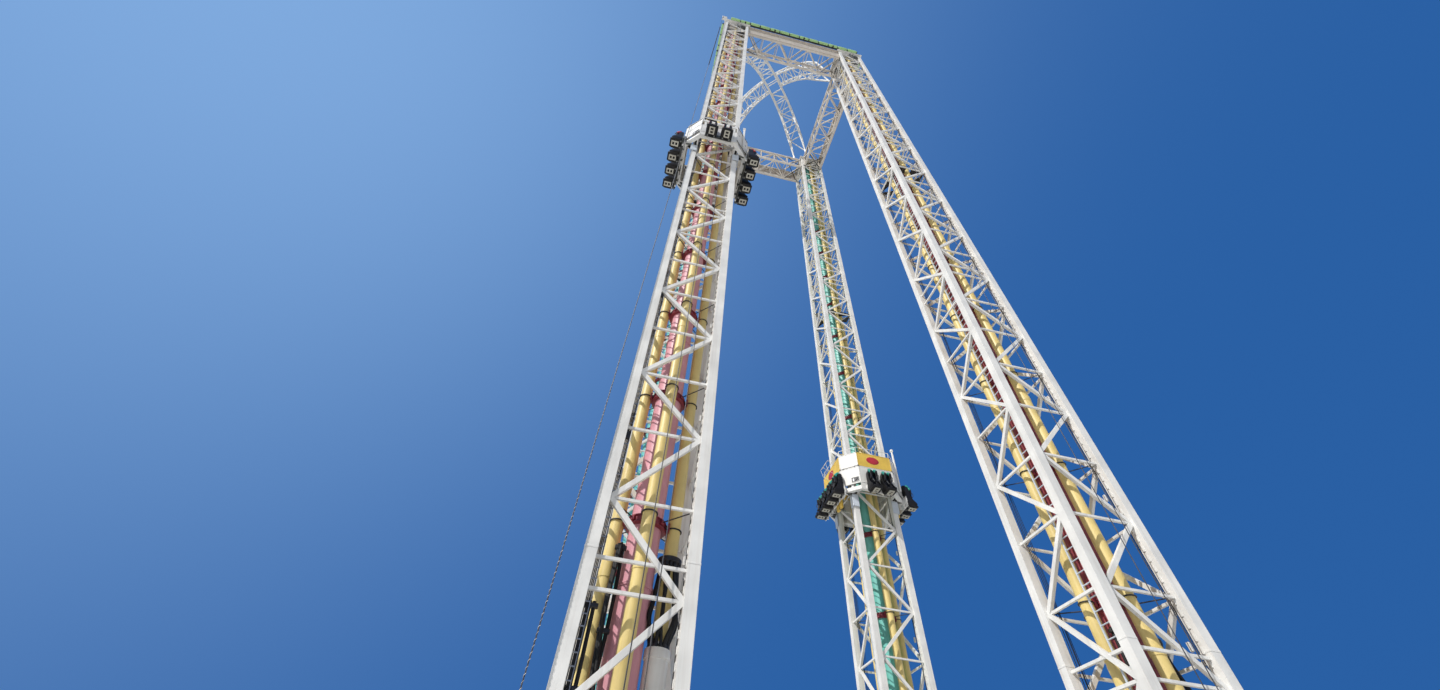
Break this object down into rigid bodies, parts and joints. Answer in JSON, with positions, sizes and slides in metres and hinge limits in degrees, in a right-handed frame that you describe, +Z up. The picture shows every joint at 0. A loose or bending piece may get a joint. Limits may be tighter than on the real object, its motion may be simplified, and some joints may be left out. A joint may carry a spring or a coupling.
{
  "type": "1:10 scale model of a drop tower ride",
  "caption": "Drop tower ride: lattice towers joined by a roof frame with crossing arches, each tower carrying a ring of outward-facing seats that rides up and down.",
  "frame": {"origin": "middle of the ground between the four towers", "axes": "X to the right and Y to the back of the pictured view, Z up along the towers"},
  "size_m": [1.693, 1.731, 7.1236],
  "materials": {
    "white_paint": "white gloss paint on structural steel, slightly warm, light dirt at joints",
    "core_red": "red paint, satin",
    "core_dark_red": "dark red paint, satin",
    "core_teal": "pale teal paint, satin",
    "core_turquoise": "turquoise paint, satin",
    "pipe_yellow": "straw yellow paint, satin",
    "bracket_maroon": "dark maroon paint",
    "cable_steel": "dark greased steel cable",
    "light_strip": "pale green translucent lamp covers",
    "seat_shell": "black moulded plastic",
    "panel_paint": "yellow and white painted panels",
    "wheel_tyre": "dark polyurethane tyre"
  },
  "bodies": {
    "towers": {"legs": "white_paint", "base_plates": "white_paint", "lattice_fl": "white_paint", "lattice_fr": "white_paint", "lattice_br": "white_paint", "lattice_bl": "white_paint", "core_fl": "core_red", "core_fr": "core_dark_red", "core_br": "core_teal", "core_bl": "core_turquoise", "pipes": "pipe_yellow", "braces": "bracket_maroon", "rams": "white_paint", "cables": "cable_steel", "crowns": "white_paint", "lights": "light_strip", "truss_front": "white_paint", "truss_back": "white_paint", "truss_left": "white_paint", "truss_right": "white_paint", "fascias": "white_paint", "arch_a": "white_paint", "arch_b": "white_paint"},
    "front_left_carriage": {"car_fl_sides": "white_paint", "car_fl_corners": "white_paint", "car_fl_seats": "seat_shell", "car_fl_panels": "panel_paint", "car_fl_wheels": "wheel_tyre"},
    "front_right_carriage": {"car_fr_sides": "white_paint", "car_fr_corners": "white_paint", "car_fr_seats": "seat_shell", "car_fr_panels": "panel_paint", "car_fr_wheels": "wheel_tyre"},
    "back_right_carriage": {"car_br_sides": "white_paint", "car_br_corners": "white_paint", "car_br_seats": "seat_shell", "car_br_panels": "panel_paint", "car_br_wheels": "wheel_tyre"},
    "back_left_carriage": {"car_bl_sides": "white_paint", "car_bl_corners": "white_paint", "car_bl_seats": "seat_shell", "car_bl_panels": "panel_paint", "car_bl_wheels": "wheel_tyre"}
  },
  "joints": [
    {"name": "front_left_lift", "type": "slide", "parent": "towers", "child": "front_left_carriage", "axis": [0, 0, 1], "range_m": [-2.691, 2.829]},
    {"name": "front_right_lift", "type": "slide", "parent": "towers", "child": "front_right_carriage", "axis": [0, 0, 1], "range_m": [0, 5.52]},
    {"name": "back_right_lift", "type": "slide", "parent": "towers", "child": "back_right_carriage", "axis": [0, 0, 1], "range_m": [-1.632, 3.888]},
    {"name": "back_left_lift", "type": "slide", "parent": "towers", "child": "back_left_carriage", "axis": [0, 0, 1], "range_m": [0, 5.52]}
  ]
}
